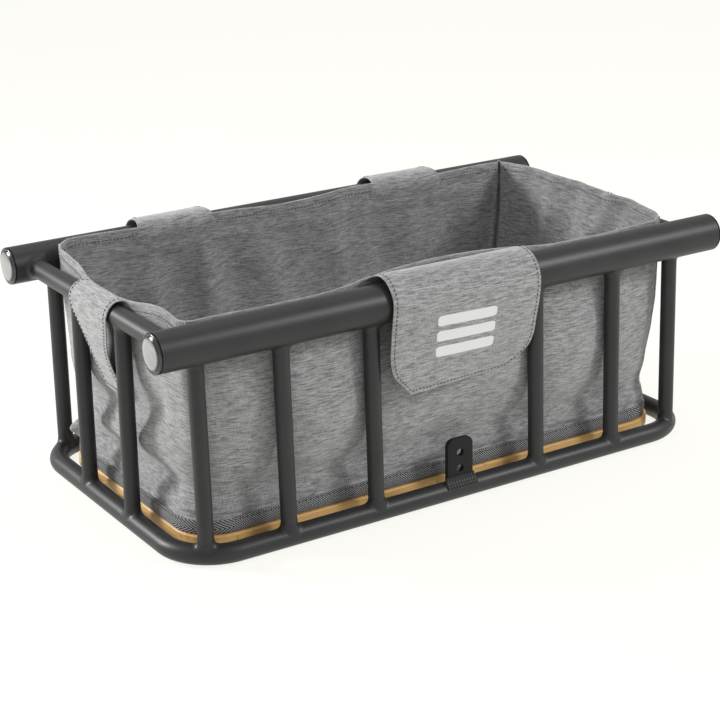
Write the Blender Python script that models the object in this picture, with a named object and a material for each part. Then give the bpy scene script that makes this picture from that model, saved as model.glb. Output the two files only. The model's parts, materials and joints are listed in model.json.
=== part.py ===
"""Bicycle cargo basket: welded tube frame with a bamboo deck and a lift-out fabric liner.

Metres, +Z up.  The origin is under the middle of the basket, on the plane that the
bottom ring stands on.  X runs along the long side, and -Y is the front, where the
light bracket is.
"""
import math

import bmesh
import bpy
from mathutils import Vector

# ---------------------------------------------------------------- driving dimensions
GAP = 0.0003                 # between pieces that touch or are welded

RAIL_OD = 0.0318             # two straight top rails along X
RAIL_WALL = 0.0018
RAIL_HALF = 0.268
RAIL_Y = 0.1343
RAIL_Z = 0.1812

RING_OD = 0.0165             # bent bottom ring
RING_WALL = 0.0016
RING_X = 0.2498
RING_Y = 0.1384
RING_BEND = 0.043
RING_Z = RING_OD / 2

CROSS_OD = 0.0165            # short tubes that join the rails at both ends
CROSS_X = 0.2485
CROSS_Z = RAIL_Z - 0.0021

POST_OD = 0.0132             # uprights
POST_WALL = 0.0015
POST_XS = (-0.2315, -0.162, -0.0805, 0.0805, 0.162, 0.2315)
POST_CORNER_IN = 0.007       # the corner uprights stand this much inboard of the rail axis
POST_END_Y = 0.0403

CAP_DOME = 0.0046

DECK_X, DECK_Y = 0.2362, 0.1219
DECK_T = 0.010
DECK_R = 0.036
DECK_TOP = 0.0144

BAR_XS = (-0.180, -0.060, 0.060, 0.180)
BAR_W, BAR_T = 0.025, 0.0040
SCREW_Y = 0.092
RACK_X, RACK_Y, RACK_R = 0.060, 0.040, 0.0035

TAB_W, TAB_T, TAB_TOP = 0.025, 0.0045, 0.0536
TAB_FACE_Y = -0.1415
TAB_HOLE_R = 0.0033
TAB_HOLE_Z = (0.0270, 0.0410)

LINER_X, LINER_Y = 0.2335, 0.1160
LINER_WALL = 0.0015
LINER_FLOOR = 0.0025
LINER_TOP = 0.196
LINER_R_TOP, LINER_R_LOW = 0.020, 0.036
BAND_H, BAND_T = 0.011, 0.0010

CLOTH = 0.0014               # flaps and straps
PATCH = 0.0009               # hook-and-loop patches
HINGE_Z = 0.1972
FLAP_HINGE_Y = 0.1152
STRAP_HINGE_X = 0.2346
STRAP_HINGE_Z = 0.1905
REAR_FLAP_X = 0.1212

# ---------------------------------------------------------------- finishes
COAT = ((0.052, 0.053, 0.055), 0.42, 0.35)
CHROME = ((0.78, 0.79, 0.80), 0.10, 1.0)
BAMBOO = ((0.60, 0.36, 0.13), 0.50, 0.0)
STEEL = ((0.52, 0.52, 0.53), 0.34, 1.0)
FABRIC = ((0.26, 0.26, 0.26), 0.92, 0.0)
WEBBING = ((0.20, 0.20, 0.205), 0.88, 0.0)
HOOK = ((0.10, 0.10, 0.10), 0.95, 0.0)


for old in list(bpy.data.objects):
    bpy.data.objects.remove(old, do_unlink=True)


def finish_of(name, look):
    colour, rough, metal = look
    mat = bpy.data.materials.new(name)
    mat.use_nodes = True
    bsdf = mat.node_tree.nodes["Principled BSDF"]
    bsdf.inputs["Base Color"].default_value = (*colour, 1.0)
    bsdf.inputs["Roughness"].default_value = rough
    bsdf.inputs["Metallic"].default_value = metal
    return mat


def add_object(name, bm, look, origin=(0, 0, 0), parent=None):
    """Turns a bmesh in world coordinates into an object whose origin is at `origin`."""
    bmesh.ops.recalc_face_normals(bm, faces=bm.faces[:])
    bmesh.ops.translate(bm, verts=bm.verts[:], vec=-Vector(origin))
    mesh = bpy.data.meshes.new(name)
    bm.to_mesh(mesh)
    bm.free()
    mesh.shade_smooth()
    mesh.set_sharp_from_angle(angle=math.radians(35))
    obj = bpy.data.objects.new(name, mesh)
    bpy.context.collection.objects.link(obj)
    if look:
        mesh.materials.append(finish_of(name, look))
    obj.location = origin
    if parent:
        obj.parent = parent
        obj.location = Vector(origin) - parent.location
    return obj


def bridge(bm, a, b):
    for i in range(len(a)):
        j = (i + 1) % len(a)
        bm.faces.new((a[i], a[j], b[j], b[i]))


def loft(loops, capped=True, closed=False):
    """Joins loops of equal length one after another, with flat ends or end to end."""
    bm = bmesh.new()
    rows = [[bm.verts.new(p) for p in loop] for loop in loops]
    for a, b in zip(rows, rows[1:]):
        bridge(bm, a, b)
    if closed:
        bridge(bm, rows[-1], rows[0])
    elif capped:
        bm.faces.new(rows[0])
        bm.faces.new(rows[-1])
    return bm


def circle(n, radius):
    return [(radius * math.cos(2 * math.pi * i / n), radius * math.sin(2 * math.pi * i / n))
            for i in range(n)]


def turned(profile, n, centre, axis):
    """A profile of (radius, height) turned about an axis through `centre`."""
    bm = bmesh.new()
    to_axis = Vector(axis).to_track_quat("Z", "Y")
    rows = []
    for radius, height in profile:
        if radius == 0:
            rows.append([bm.verts.new(Vector(centre) + to_axis @ Vector((0, 0, height)))])
        else:
            rows.append([bm.verts.new(Vector(centre) + to_axis @ Vector((x, y, height)))
                         for x, y in circle(n, radius)])
    for a, b in zip(rows, rows[1:]):
        for i in range(n):
            j = (i + 1) % n
            quad = [a[i % len(a)], a[j % len(a)], b[j % len(b)], b[i % len(b)]]
            kept = []
            for v in quad:
                if v not in kept:
                    kept.append(v)
            if len(kept) > 2:
                bm.faces.new(kept)
    return bm


def cut(obj, cutter):
    mod = obj.modifiers.new("cut", "BOOLEAN")
    mod.operation = "DIFFERENCE"
    mod.solver = "EXACT"
    mod.object = cutter


def hide_cutter(obj):
    obj.hide_render = True
    obj.display_type = "WIRE"
    return obj


def rounded_rect(hx, hy, r, steps):
    """Corner arcs of `steps` segments, anticlockwise from the +X side."""
    pts = []
    for cx, cy, start in ((hx - r, hy - r, 0), (r - hx, hy - r, 90),
                          (r - hx, r - hy, 180), (hx - r, r - hy, 270)):
        for i in range(steps + 1):
            a = math.radians(start + 90 * i / steps)
            pts.append((cx + r * math.cos(a), cy + r * math.sin(a)))
    return pts


# ---------------------------------------------------------------- centre lines of the frame
def off_rail(side):
    return lambda p: math.hypot(p.y - side * RAIL_Y, p.z - RAIL_Z)


def off_cross(side):
    return lambda p: math.hypot(p.x - side * CROSS_X, p.z - CROSS_Z)


def off_ring(p):
    qx = abs(p.x) - (RING_X - RING_BEND)
    qy = abs(p.y) - (RING_Y - RING_BEND)
    flat = math.hypot(max(qx, 0), max(qy, 0)) + min(max(qx, qy), 0) - RING_BEND
    return math.hypot(flat, p.z - RING_Z)


def coped_tube(name, a, b, od, wall, sides, stop_a, stop_b):
    """A tube from a to b whose ends are cut to the tubes they are welded to.

    stop_a and stop_b are (distance from that tube's centre line, its outside radius)."""
    a, b = Vector(a), Vector(b)
    way = (b - a).normalized()
    side = way.orthogonal().normalized()
    up = way.cross(side)
    middle = (a + b) / 2
    reach = (b - a).length / 2

    def end_of(offset, sign, stop):
        distance, radius = stop
        lo, hi = 0.0, reach
        for _ in range(40):
            t = (lo + hi) / 2
            if distance(middle + offset + way * sign * t) > radius + GAP:
                lo = t
            else:
                hi = t
        return middle + offset + way * sign * lo

    def ring(radius, sign, stop):
        return [end_of(side * x + up * y, sign, stop) for x, y in circle(sides, radius)]

    ro, ri = od / 2, od / 2 - wall
    loops = [ring(ro, -1, stop_a), ring(ro, 1, stop_b), ring(ri, 1, stop_b), ring(ri, -1, stop_a)]
    return add_object(name, loft(loops, closed=True), COAT)


# ---------------------------------------------------------------- top rails and their end caps
for label, side in (("front", -1), ("rear", 1)):
    loops = []
    for radius, x in ((RAIL_OD / 2, -RAIL_HALF), (RAIL_OD / 2, RAIL_HALF),
                      (RAIL_OD / 2 - RAIL_WALL, RAIL_HALF), (RAIL_OD / 2 - RAIL_WALL, -RAIL_HALF)):
        loops.append([Vector((x, side * RAIL_Y + c, RAIL_Z + s)) for c, s in circle(40, radius)])
    add_object(f"top_rail_{label}", loft(loops, closed=True), COAT)

    plug = RAIL_OD / 2 - RAIL_WALL - 0.0004
    rim = RAIL_OD / 2
    profile = ((0, -0.009), (plug, -0.009), (plug, GAP), (rim, GAP), (rim, 0.0014),
               (rim * 0.95, 0.0024), (rim * 0.70, 0.0036), (rim * 0.38, 0.0043), (0, CAP_DOME))
    for hand, way in (("left", -1), ("right", 1)):
        add_object(f"end_cap_{label}_{hand}",
                   turned(profile, 28, (way * RAIL_HALF, side * RAIL_Y, RAIL_Z), (way, 0, 0)), CHROME)

# ---------------------------------------------------------------- cross tubes at both ends
for hand, way in (("left", -1), ("right", 1)):
    coped_tube(f"cross_tube_{hand}", (way * CROSS_X, -RAIL_Y, CROSS_Z), (way * CROSS_X, RAIL_Y, CROSS_Z),
               CROSS_OD, POST_WALL, 20, (off_rail(-1), RAIL_OD / 2), (off_rail(1), RAIL_OD / 2))

# ---------------------------------------------------------------- bottom ring, a bent tube with vent holes
path = [Vector((x, y, RING_Z)) for x, y in rounded_rect(RING_X, RING_Y, RING_BEND, 6)]
shells = bmesh.new()
for radius in (RING_OD / 2, RING_OD / 2 - RING_WALL):
    rows = []
    for i, p in enumerate(path):
        along = (path[(i + 1) % len(path)] - path[i - 1]).normalized()
        out = along.cross(Vector((0, 0, 1)))
        rows.append([shells.verts.new(p + out * c + Vector((0, 0, s))) for c, s in circle(16, radius)])
    made = []
    for i, row in enumerate(rows):
        after = rows[(i + 1) % len(rows)]
        for k in range(16):
            m = (k + 1) % 16
            quad = (row[k], row[m], after[m], after[k])
            made.append(shells.faces.new(quad if radius == RING_OD / 2 else quad[::-1]))
mesh = bpy.data.meshes.new("bottom_ring")
shells.to_mesh(mesh)
shells.free()
if sum(p.normal.dot(p.center - Vector((0, 0, RING_Z))) > 0 for p in mesh.polygons[:4]) < 2:
    mesh.flip_normals()
mesh.shade_smooth()
mesh.set_sharp_from_angle(angle=math.radians(35))
mesh.materials.append(finish_of("bottom_ring", COAT))
ring_obj = bpy.data.objects.new("bottom_ring", mesh)
bpy.context.collection.objects.link(ring_obj)
vents = bmesh.new()
for sx in (-1, 1):
    at = Vector((sx * 0.120, RING_Y, 0.0))
    rows = [[vents.verts.new(at + Vector((x, y, z))) for x, y in circle(10, 0.002)]
            for z in (-0.002, 0.0045)]
    bridge(vents, *rows)
    vents.faces.new(rows[0])
    vents.faces.new(rows[1])
cut(ring_obj, hide_cutter(add_object("cutter_vents", vents, None)))

# ---------------------------------------------------------------- uprights
for label, side in (("front", -1), ("rear", 1)):
    for n, x in enumerate(POST_XS, 1):
        corner = n in (1, len(POST_XS))
        top_y = RAIL_Y - (POST_CORNER_IN if corner else 0)
        low_y = 0.1306 if corner else RING_Y
        coped_tube(f"upright_{label}_{n}", (x, side * low_y, RING_Z), (x, side * top_y, RAIL_Z),
                   POST_OD, POST_WALL, 16, (off_ring, RING_OD / 2), (off_rail(side), RAIL_OD / 2))
for hand, way in (("left", -1), ("right", 1)):
    for label, side in (("front", -1), ("rear", 1)):
        coped_tube(f"upright_{hand}_{label}", (way * RING_X, side * POST_END_Y, RING_Z),
                   (way * CROSS_X, side * POST_END_Y, CROSS_Z),
                   POST_OD, POST_WALL, 16, (off_ring, RING_OD / 2), (off_cross(way), CROSS_OD / 2))

# ---------------------------------------------------------------- light bracket tab on the ring
TAB_LOW = RING_OD + 0.0005
outline = [(TAB_W / 2, TAB_LOW), (TAB_W / 2, TAB_TOP - 0.006)]
outline += [(TAB_W / 2 - 0.006 + 0.006 * math.cos(math.radians(a)), TAB_TOP - 0.006 + 0.006 * math.sin(math.radians(a)))
            for a in (22.5, 45, 67.5, 90)]
outline += [(-x, z) for x, z in reversed(outline)]
tab = add_object("light_bracket", loft([[Vector((x, TAB_FACE_Y + d, z)) for x, z in outline]
                                        for d in (0, TAB_T)]), COAT)
holes = bmesh.new()
for z in TAB_HOLE_Z:
    rows = [[holes.verts.new((x, y, z + s)) for x, s in circle(20, TAB_HOLE_R)]
            for y in (TAB_FACE_Y - 0.003, TAB_FACE_Y + TAB_T + 0.003)]
    bridge(holes, *rows)
    holes.faces.new(rows[0])
    holes.faces.new(rows[1])
cut(tab, hide_cutter(add_object("cutter_bracket_holes", holes, None)))

# ---------------------------------------------------------------- deck, the bars under it and its screws
screw_at = [(x, sy * SCREW_Y) for x in BAR_XS for sy in (-1, 1)]
drill = bmesh.new()
hole_kinds = [(at, ((0, -0.001), (0.0029, -0.001), (0.0029, DECK_TOP - 0.0032), (0.0052, DECK_TOP - 0.0005),
                    (0.0052, DECK_TOP + 0.001), (0, DECK_TOP + 0.001))) for at in screw_at]
hole_kinds += [((sx * RACK_X, sy * RACK_Y), ((0, -0.001), (RACK_R, -0.001), (RACK_R, DECK_TOP + 0.001),
                                              (0, DECK_TOP + 0.001))) for sx in (-1, 1) for sy in (-1, 1)]
for (x, y), profile in hole_kinds:
    part = turned(profile, 12, (x, y, 0), (0, 0, 1))
    piece = bpy.data.meshes.new("hole")
    bmesh.ops.recalc_face_normals(part, faces=part.faces[:])
    part.to_mesh(piece)
    part.free()
    drill.from_mesh(piece)
drill_obj = hide_cutter(add_object("cutter_deck_holes", drill, None))

EASE = 0.0012
deck_loops = []
for inset, z in ((EASE, DECK_TOP - DECK_T), (0, DECK_TOP - DECK_T + EASE), (0, DECK_TOP - EASE), (EASE, DECK_TOP)):
    deck_loops.append([Vector((x, y, z)) for x, y in
                       rounded_rect(DECK_X - inset, DECK_Y - inset, DECK_R - inset, 8)])
cut(add_object("bamboo_deck", loft(deck_loops), BAMBOO), drill_obj)

reach = RING_OD / 2 + GAP
for n, x in enumerate(BAR_XS, 1):
    ends = [RING_Y - math.sqrt(reach ** 2 - (z - RING_Z) ** 2) for z in (0, BAR_T / 2, BAR_T)]
    section = [(-ends[0], 0), (-ends[1], BAR_T / 2), (-ends[2], BAR_T), (ends[2], BAR_T), (ends[1], BAR_T / 2),
               (ends[0], 0)]
    bar = add_object(f"deck_bar_{n}", loft([[Vector((x + d, y, z)) for y, z in section]
                                            for d in (-BAR_W / 2, BAR_W / 2)]), COAT)
    cut(bar, drill_obj)

for n, (x, y) in enumerate(screw_at, 1):
    top = DECK_TOP - 0.0005
    profile = ((0, top - 0.0018), (0.0019, top - 0.0018), (0.0019, top), (0.0046, top), (0.0025, top - 0.0024),
               (0.0025, 0.0007), (0, 0.0007))
    add_object(f"deck_screw_{n}", turned(profile, 12, (x, y, 0), (0, 0, 1)), STEEL)

# ---------------------------------------------------------------- liner: tub and the webbing band round its foot
LINER_LOW = DECK_TOP + GAP


def liner_loop(inset, z):
    t = min(1, max(0, (z - LINER_LOW) / (LINER_TOP - LINER_LOW)))
    r = LINER_R_LOW + (LINER_R_TOP - LINER_R_LOW) * t - inset
    return [Vector((x, y, z)) for x, y in rounded_rect(LINER_X - inset, LINER_Y - inset, r, 5)]


liner = add_object("liner_tub", loft([liner_loop(0, LINER_LOW), liner_loop(0, 0.105), liner_loop(0, LINER_TOP),
                                      liner_loop(LINER_WALL, LINER_TOP), liner_loop(LINER_WALL, 0.105),
                                      liner_loop(LINER_WALL, LINER_LOW + LINER_FLOOR)]), FABRIC)
band_loops = [liner_loop(-GAP, LINER_LOW), liner_loop(-GAP - BAND_T, LINER_LOW),
              liner_loop(-GAP - BAND_T, LINER_LOW + BAND_H), liner_loop(-GAP, LINER_LOW + BAND_H)]
add_object("liner_foot_band", loft(band_loops, closed=True), WEBBING, parent=liner)


# ---------------------------------------------------------------- flaps and straps, each sewn to the liner's top edge
def wrap_profile(root, centre, radius, tail):
    """(outward, up) points from the seam, over a tube, and back to the liner's wall."""
    away = math.atan2(root[1] - centre[1], root[0] - centre[0])
    far = math.hypot(root[0] - centre[0], root[1] - centre[1])
    start = away - math.acos(radius / far)
    steps = 9
    arc = [(centre[0] + radius * math.cos(start * (1 - i / steps)),
            centre[1] + radius * math.sin(start * (1 - i / steps))) for i in range(steps + 1)]
    half = ((root[0] + arc[0][0]) / 2, (root[1] + arc[0][1]) / 2)
    return [root, half] + arc + list(tail)


def wrap_mesh(points, widths, place):
    """A cloth of even thickness along a profile.  widths are (outward, up, half width) marks
    that are read by run length, and place turns (outward, up, across) into a point."""
    run = [0.0]
    for a, b in zip(points, points[1:]):
        run.append(run[-1] + math.dist(a, b))
    loops = []
    for i, p in enumerate(points):
        a, b = points[max(0, i - 1)], points[min(len(points) - 1, i + 1)]
        d = math.dist(a, b)
        normal = (-(b[1] - a[1]) / d, (b[0] - a[0]) / d)
        t = run[i] / run[-1]
        lo = max(k for k in range(len(widths)) if widths[k][0] <= t or k == 0)
        hi = min(lo + 1, len(widths) - 1)
        span = widths[hi][0] - widths[lo][0]
        mix = 0 if span == 0 else (t - widths[lo][0]) / span
        half = widths[lo][1] + (widths[hi][1] - widths[lo][1]) * mix
        up = [(p[0] + normal[0] * CLOTH / 2, p[1] + normal[1] * CLOTH / 2)] * 3
        down = [(p[0] - normal[0] * CLOTH / 2, p[1] - normal[1] * CLOTH / 2)] * 3
        loops.append([place(u, v, w * half) for (u, v), w in zip(up, (-1, 0, 1))]
                     + [place(u, v, w * half) for (u, v), w in zip(down, (1, 0, -1))])
    return loft(loops)


RAIL_WRAP = RAIL_OD / 2 + 0.0006 + CLOTH / 2
CROSS_WRAP = CROSS_OD / 2 + 0.0006 + CLOTH / 2
WALL_Y = LINER_Y + GAP * 3 + PATCH * 2 + CLOTH / 2
WALL_X = LINER_X + GAP * 3 + PATCH * 2 + CLOTH / 2
FRONT_TAIL = ((0.1513, 0.172), (0.1475, 0.152), (0.1360, 0.135), (0.1245, 0.126), (0.1203, 0.121),
              (WALL_Y, 0.116), (WALL_Y, 0.106), (WALL_Y, 0.098))
REAR_TAIL = ((0.1513, 0.172), (0.1475, 0.160), (0.1360, 0.147), (0.1245, 0.139), (0.1203, 0.134),
             (WALL_Y, 0.129), (WALL_Y, 0.119), (WALL_Y, 0.111))
STRAP_TAIL = ((0.2577, 0.170), (0.2540, 0.158), (0.2518, 0.1437), (0.2460, 0.131), (0.2395, 0.121),
              (WALL_X + 0.0002, 0.114), (WALL_X, 0.109), (WALL_X, 0.099), (WALL_X, 0.091))


def patch_pair(name, centre, half_across, z_low, z_high, wall, way, flap):
    """A loop patch sewn to the liner's wall and the hook patch facing it on the flap."""
    for kind, lift, look, parent in (("loop", GAP, FABRIC, liner), ("hook", GAP * 2 + PATCH, HOOK, flap)):
        grow = 0.001 if kind == "loop" else 0
        a, b = wall + lift, wall + lift + PATCH
        w0, w1 = centre - half_across - grow, centre + half_across + grow
        loops = []
        for out in (a, b):
            corners = ((w0, z_low - grow), (w1, z_low - grow), (w1, z_high + grow), (w0, z_high + grow))
            loops.append([Vector((c, way[1] * out, z)) if way[0] == 0 else Vector((way[0] * out, c, z))
                          for c, z in corners])
        add_object(f"{kind}_patch_{name}", loft(loops), look,
                   origin=tuple(parent.location), parent=parent)


def rail_flap(name, side, centre_x, tail, widths, patch_half, z_low, z_high):
    points = wrap_profile((FLAP_HINGE_Y, HINGE_Z), (RAIL_Y, RAIL_Z), RAIL_WRAP, tail)
    hinge = (centre_x, side * FLAP_HINGE_Y, HINGE_Z)
    flap = add_object(f"flap_{name}", wrap_mesh(points, widths, lambda u, v, w: Vector((centre_x + w, side * u, v))),
                      FABRIC, origin=hinge)
    patch_pair(name, centre_x, patch_half, z_low, z_high, LINER_Y, (0, side), flap)


rail_flap("front", -1, 0.0, FRONT_TAIL,
          ((0, 0.0755), (0.10, 0.0725), (0.30, 0.0715), (0.93, 0.0705), (1.0, 0.060)), 0.050, 0.0995, 0.1140)
for hand, way in (("left", -1), ("right", 1)):
    rail_flap(f"rear_{hand}", 1, way * REAR_FLAP_X, REAR_TAIL,
              ((0, 0.0420), (0.14, 0.0350), (0.30, 0.0330), (0.92, 0.0325), (1.0, 0.025)), 0.022, 0.1125, 0.1270)
    points = wrap_profile((STRAP_HINGE_X, STRAP_HINGE_Z), (CROSS_X, CROSS_Z), CROSS_WRAP, STRAP_TAIL)
    strap = add_object(f"end_strap_{hand}",
                       wrap_mesh(points, ((0, 0.0334), (0.22, 0.0345), (0.36, 0.0300), (0.47, 0.0240),
                                          (0.60, 0.0183), (0.90, 0.0168), (1.0, 0.011)),
                                 lambda u, v, w, way=way: Vector((way * u, w, v))),
                       FABRIC, origin=(way * STRAP_HINGE_X, 0, STRAP_HINGE_Z))
    patch_pair(f"end_{hand}", 0.0, 0.012, 0.0925, 0.1080, LINER_X, (way, 0), strap)
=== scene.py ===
"""Looks for a bicycle cargo basket: a coated tube frame, a bamboo deck and a sewn grey liner.

Metres, +Z up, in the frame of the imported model.  X runs along the rails, -Y is the front.
"""
import json
import math

import bmesh
import bpy
import numpy as np
from mathutils import Matrix, Vector, noise


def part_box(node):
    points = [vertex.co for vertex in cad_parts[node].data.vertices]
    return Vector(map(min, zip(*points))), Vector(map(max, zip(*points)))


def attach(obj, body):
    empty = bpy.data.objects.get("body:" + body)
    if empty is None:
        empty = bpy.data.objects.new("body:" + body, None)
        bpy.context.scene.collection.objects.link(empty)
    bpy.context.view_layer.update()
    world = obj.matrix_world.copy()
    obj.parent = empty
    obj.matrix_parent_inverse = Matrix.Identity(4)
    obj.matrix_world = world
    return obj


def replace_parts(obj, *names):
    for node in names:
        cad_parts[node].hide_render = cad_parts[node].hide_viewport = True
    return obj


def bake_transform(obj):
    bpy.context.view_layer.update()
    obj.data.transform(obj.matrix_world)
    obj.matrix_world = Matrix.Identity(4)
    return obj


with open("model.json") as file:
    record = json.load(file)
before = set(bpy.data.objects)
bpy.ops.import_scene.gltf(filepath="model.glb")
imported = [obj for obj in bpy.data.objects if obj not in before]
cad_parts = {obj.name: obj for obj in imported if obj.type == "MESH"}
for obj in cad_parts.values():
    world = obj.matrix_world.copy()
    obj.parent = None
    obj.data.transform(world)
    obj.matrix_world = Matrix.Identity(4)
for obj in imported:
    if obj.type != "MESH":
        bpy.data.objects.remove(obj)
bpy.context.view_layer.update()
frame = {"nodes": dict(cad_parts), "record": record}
slot_of = {part["node"]: part["material_slot"] for part in frame["record"]["subparts"]}

# ---------------------------------------------------------------------------------------
# Camera: at table height, turned to show the front and the left end, looking a little
# down into the basket with a long lens.
YAW, PITCH, ROLL = 0.561, 0.348, -0.021
ahead = Vector((math.sin(YAW) * math.cos(PITCH), math.cos(YAW) * math.cos(PITCH), -math.sin(PITCH)))
level = Vector((math.cos(YAW), -math.sin(YAW), 0))
upward = level.cross(ahead)
right = level * math.cos(ROLL) + upward * math.sin(ROLL)
up = upward * math.cos(ROLL) - level * math.sin(ROLL)
lens = bpy.data.cameras.new("camera")
lens.lens, lens.sensor_width = 93.55, 36.0
camera = bpy.data.objects.new("camera", lens)
camera.matrix_world = Matrix((right, up, -ahead)).transposed().to_4x4()
camera.location = (-0.8222, -1.2981, 0.6375)
bpy.context.collection.objects.link(camera)
bpy.context.scene.camera = camera

# ---------------------------------------------------------------------------------------
# Studio: a pale table that runs out of sight, an even pale surround, one soft light to
# the left that reaches the end wall and one to the right that reaches the front.
bpy.context.scene.view_settings.view_transform = "Standard"
world = bpy.data.worlds.new("surround")
world.use_nodes = True
world.node_tree.nodes["Background"].inputs["Color"].default_value = (1, 1, 1, 1)
world.node_tree.nodes["Background"].inputs["Strength"].default_value = 0.66
bpy.context.scene.world = world


def soft_light(name, toward, distance, size, power):
    lamp = bpy.data.lights.new(name, "AREA")
    lamp.shape, lamp.size, lamp.energy = "DISK", size, power
    obj = bpy.data.objects.new(name, lamp)
    aim = Vector(toward).normalized()
    obj.location = aim * distance + Vector((0, 0, 0.1))
    obj.rotation_euler = aim.to_track_quat("Z", "Y").to_euler()
    bpy.context.collection.objects.link(obj)


soft_light("light_left", (-0.76, 0.58, 0.40), 1.5, 0.42, 21)
soft_light("light_right", (0.54, -0.63, 0.57), 2.2, 0.55, 21)
soft_light("light_over", (0.1, 0.15, 1.0), 2.4, 1.6, 7)


# ---------------------------------------------------------------------------------------
# Coated tubes: rails, cross tubes, ring, uprights, bracket and bars are mild steel under a
# satin charcoal powder coat with a fine orange-peel surface.
class Wire:
    """A socket of a material's nodes.  Arithmetic on it adds Math nodes."""

    def __init__(self, tree, socket):
        self.tree, self.socket = tree, socket

    def node(self, kind, settings=None, values=None, out=0):
        made = self.tree.nodes.new("ShaderNode" + kind)
        for key, value in (settings or {}).items():
            setattr(made, key, value)
        for key, value in (values or {}).items():
            if isinstance(value, Wire):
                self.tree.links.new(value.socket, made.inputs[key])
            else:
                made.inputs[key].default_value = value
        return Wire(self.tree, made.outputs[out])

    def math(self, operation, *terms):
        return self.node("Math", {"operation": operation}, dict(enumerate(terms)))

    def __add__(self, other):
        return self.math("ADD", self, other)

    __radd__ = __add__

    def __sub__(self, other):
        return self.math("SUBTRACT", self, other)

    def __mul__(self, other):
        return self.math("MULTIPLY", self, other)

    def __truediv__(self, other):
        return self.math("DIVIDE", self, other)

    def __mod__(self, other):
        return self.math("FLOORED_MODULO", self, other)

    def __abs__(self):
        return self.math("ABSOLUTE", self)

    def __lt__(self, other):
        return self.math("LESS_THAN", self, other)

    def sine(self):
        return self.math("SINE", self)

    def root(self):
        return self.math("SQRT", self)

    def floor(self):
        return self.math("FLOOR", self)

    def lottery(self):
        """A fixed chance value from 0 to 1 for each whole number."""
        return self.node("TexWhiteNoise", {"noise_dimensions": "1D"}, {"W": self})

    def over(self, low, high):
        """0 below low and 1 above high, with a soft step between."""
        step = {"interpolation_type": "SMOOTHSTEP"}
        return self.node("MapRange", step, {0: self, 1: low, 2: high})

    def axis(self, index):
        return self.node("SeparateXYZ", None, {0: self}, out=index)

    def stretched(self, *factors):
        return self.node("VectorMath", {"operation": "MULTIPLY"}, {0: self, 1: factors})

    def noise(self, detail=2.0, rough=0.5):
        values = {"Vector": self, "Scale": 1.0, "Detail": detail, "Roughness": rough}
        return self.node("TexNoise", None, values)

    def tint(self, low, high):
        """A colour between low and high, with this value as the share of high."""
        first, second = (c if isinstance(c, Wire) else (*c, 1) for c in (low, high))
        return self.node("Mix", {"data_type": "RGBA"}, {0: self, 6: first, 7: second}, out=2)

    def bump(self, distance, strength=1.0):
        return self.node("Bump", None, {"Strength": strength, "Distance": distance, "Height": self})


def finish(name, **fixed):
    """A material, a wire of its object coordinates, and a function that links its sockets."""
    made = bpy.data.materials.new(name)
    made.use_nodes = True
    tree = made.node_tree
    shader = tree.nodes["Principled BSDF"]
    for key, value in fixed.items():
        shader.inputs[key.replace("_", " ")].default_value = value
    place = Wire(tree, tree.nodes.new("ShaderNodeTexCoord").outputs["Object"])

    def feed(**links):
        for key, wire in links.items():
            tree.links.new(wire.socket, shader.inputs[key.replace("_", " ")])

    return made, place, feed


powder_coat, place, feed = finish("powder_coat", Metallic=0.0, Specular_IOR_Level=0.42)
peel = place.stretched(1400, 1400, 1400).noise(2.0)
cloud = place.stretched(26, 26, 26).noise(3.0)
mottle = (cloud * 0.6 + peel * 0.4).over(0.3, 0.7)
feed(Base_Color=mottle.tint((0.014, 0.0144, 0.015), (0.022, 0.0224, 0.023)),
     Roughness=0.36 + peel * 0.10 + cloud * 0.04, Normal=peel.bump(0.00006))


def dress(obj, material):
    """Gives a carried-over CAD node its finish."""
    obj.data.materials.clear()
    obj.data.materials.append(material)


for node, obj in frame["nodes"].items():
    if slot_of[node] == "frame_coat":
        dress(obj, powder_coat)

# ---------------------------------------------------------------------------------------
# Frame tubes: drawn steel tube, two straight rails, a cross tube at each end, one bent ring
# round the foot, and sixteen uprights between them.
def solid(name, bm, material, body=None, smooth=40):
    """A piece from a bmesh, with its faces turned outward, riding on a body."""
    bmesh.ops.recalc_face_normals(bm, faces=bm.faces[:])
    mesh = bpy.data.meshes.new(name)
    bm.to_mesh(mesh)
    bm.free()
    mesh.materials.append(material)
    mesh.shade_smooth()
    mesh.set_sharp_from_angle(angle=math.radians(smooth))
    obj = bpy.data.objects.new(name, mesh)
    bpy.context.collection.objects.link(obj)
    if body:
        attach(obj, body)
    return obj


def skin(bm, loops, closed=False, caps=False, ring=True):
    """Faces between rows of points, which are rings unless ring is False."""
    rows = [[bm.verts.new(p) for p in loop] for loop in loops]
    pairs = list(zip(rows, rows[1:])) + ([(rows[-1], rows[0])] if closed else [])
    for a, b in pairs:
        for i in range(len(a) if ring else len(a) - 1):
            j = (i + 1) % len(a)
            bm.faces.new((a[i], a[j], b[j], b[i]))
    if caps:
        bm.faces.new(rows[0])
        bm.faces.new(rows[-1])
    return rows


def tube(node, path, radius, closed=False, sides=64):
    """A coated tube along a path of points, in place of the CAD node of that name."""
    path = [Vector(p) for p in path]
    loops = []
    for n, point in enumerate(path):
        ahead_of = path[(n + 1) % len(path)] if closed or n + 1 < len(path) else point
        behind = path[n - 1] if closed or n else point
        way = (ahead_of - behind).normalized()
        side = way.cross(Vector((0, 0, 1))).normalized() if abs(way.z) < 0.9 else Vector((1, 0, 0))
        other = way.cross(side).normalized()
        side = other.cross(way)
        loops.append([point + (side * math.cos(a) + other * math.sin(a)) * radius
                      for a in np.linspace(0, 2 * math.pi, sides, endpoint=False)])
    bm = bmesh.new()
    skin(bm, loops, closed=closed, caps=not closed)
    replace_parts(solid(f"{node}_tube", bm, powder_coat, "frame"), node)


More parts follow.
